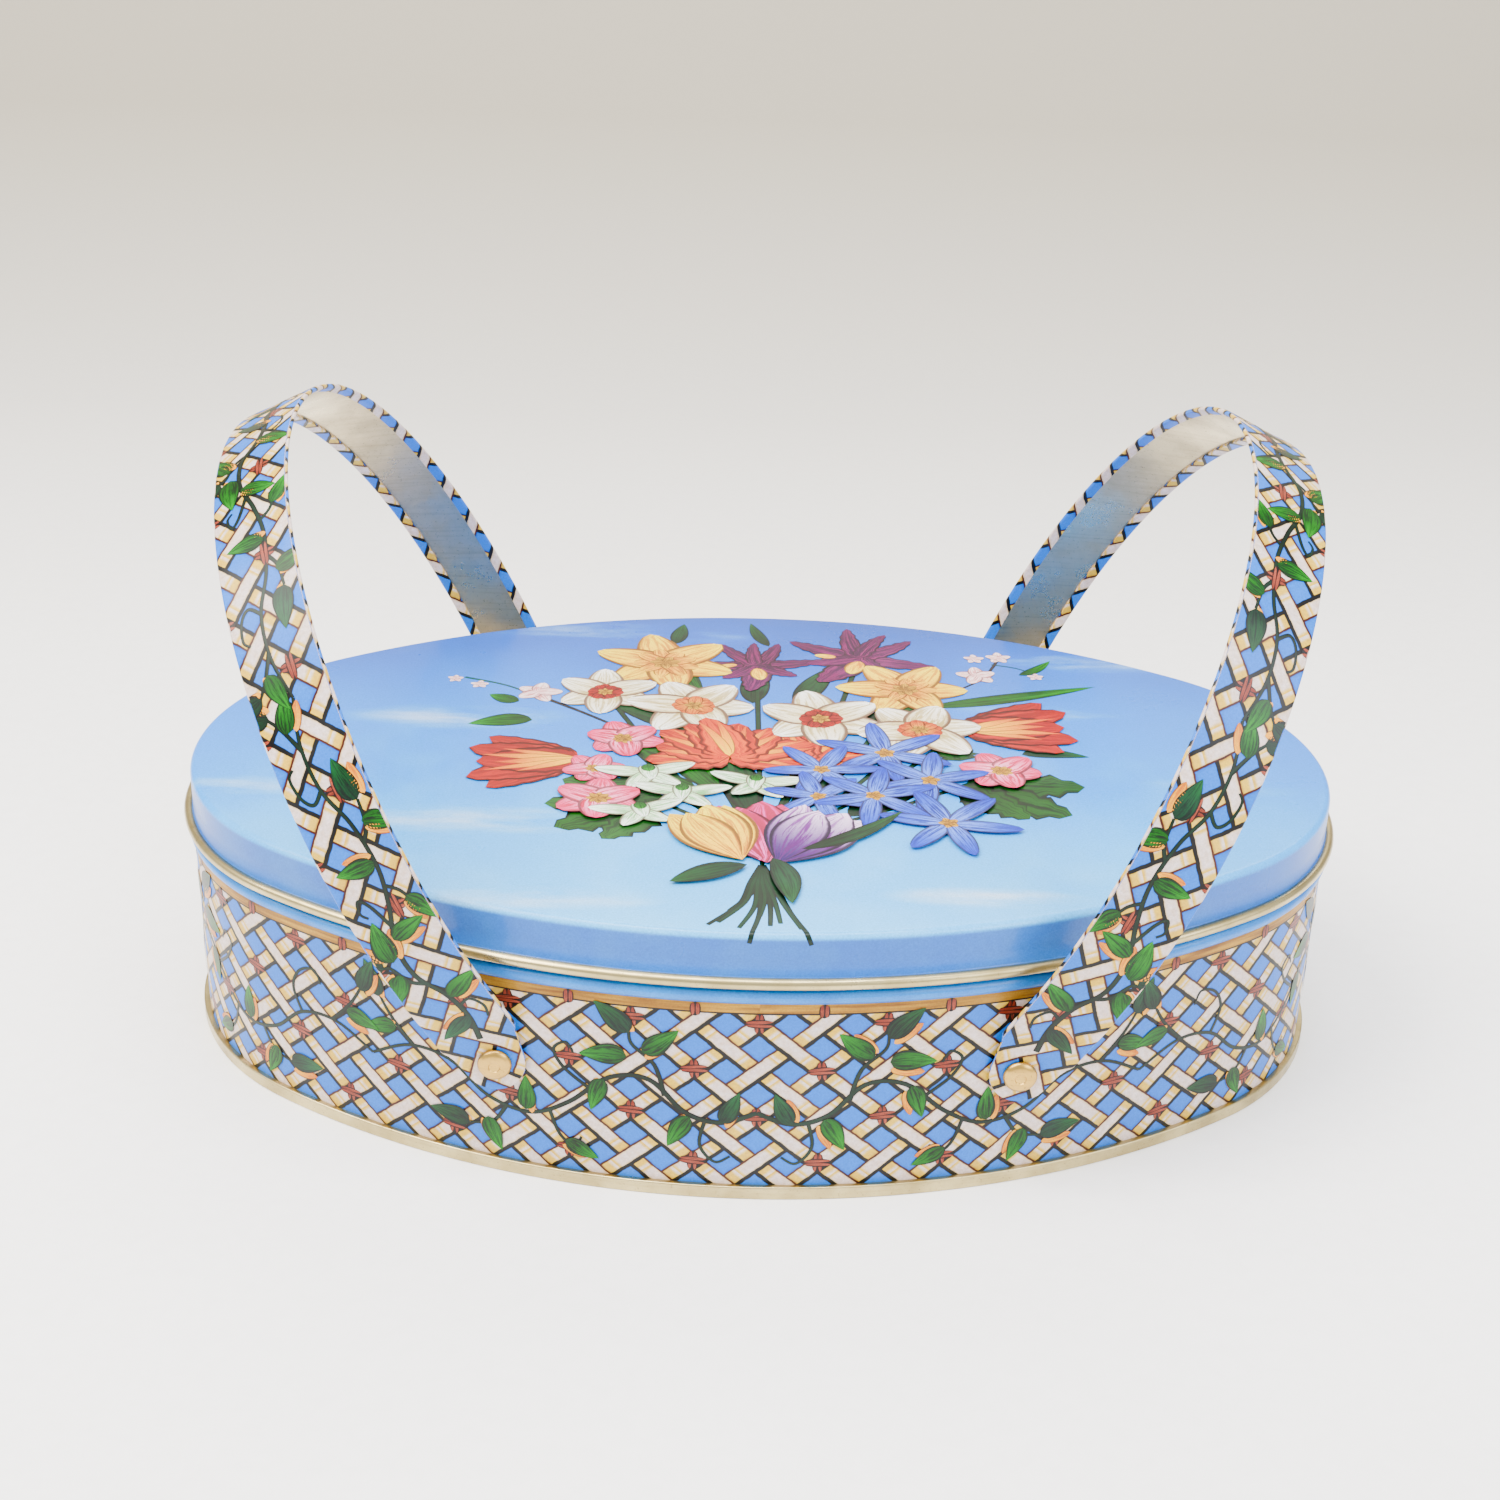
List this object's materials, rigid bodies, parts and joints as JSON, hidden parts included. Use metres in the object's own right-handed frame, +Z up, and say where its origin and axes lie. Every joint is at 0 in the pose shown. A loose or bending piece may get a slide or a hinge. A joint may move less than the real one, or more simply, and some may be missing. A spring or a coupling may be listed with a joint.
{
  "type": "oval metal lunch tin",
  "caption": "Oval tinplate lunch box with a slip-over lid and a pair of riveted strap handles that swing.",
  "frame": {"origin": "centre of the base, on the surface the tin stands on", "axes": "+X along the long axis towards the right handle, +Y from the front towards the back, +Z up"},
  "size_m": [0.254, 0.1626, 0.1386],
  "materials": {
    "printed_wall": "printed lattice and vine on a blue ground, clear lacquer",
    "printed_lid": "printed sky with flowers, clear lacquer",
    "printed_strap": "printed lattice outside, bare tinplate inside",
    "bare_tin": "lacquered bare tinplate, warm tone",
    "brass": "satin plated rivets"
  },
  "bodies": {
    "tin": {"body_wall": "printed_wall", "base_panel": "bare_tin", "rivet_front_left": "brass", "rivet_front_right": "brass", "rivet_back_left": "brass", "rivet_back_right": "brass", "washer_front_left": "bare_tin", "washer_front_right": "bare_tin", "washer_back_left": "bare_tin", "washer_back_right": "bare_tin"},
    "lid": {"lid": "printed_lid"},
    "handle_left": {"handle_left": "printed_strap"},
    "handle_right": {"handle_right": "printed_strap"}
  },
  "joints": [
    {"name": "lid_lift", "type": "slide", "parent": "tin", "child": "lid", "axis": [0, 0, 1], "range_m": [0, 0.02]},
    {"name": "handle_left_swing", "type": "hinge", "parent": "tin", "child": "handle_left", "pos_m": [-0.052, 0, 0.027], "axis": [0, -1, 0], "range_deg": [-46, 64]},
    {"name": "handle_right_swing", "type": "hinge", "parent": "tin", "child": "handle_right", "pos_m": [0.052, 0, 0.027], "axis": [0, 1, 0], "range_deg": [-46, 64]}
  ]
}
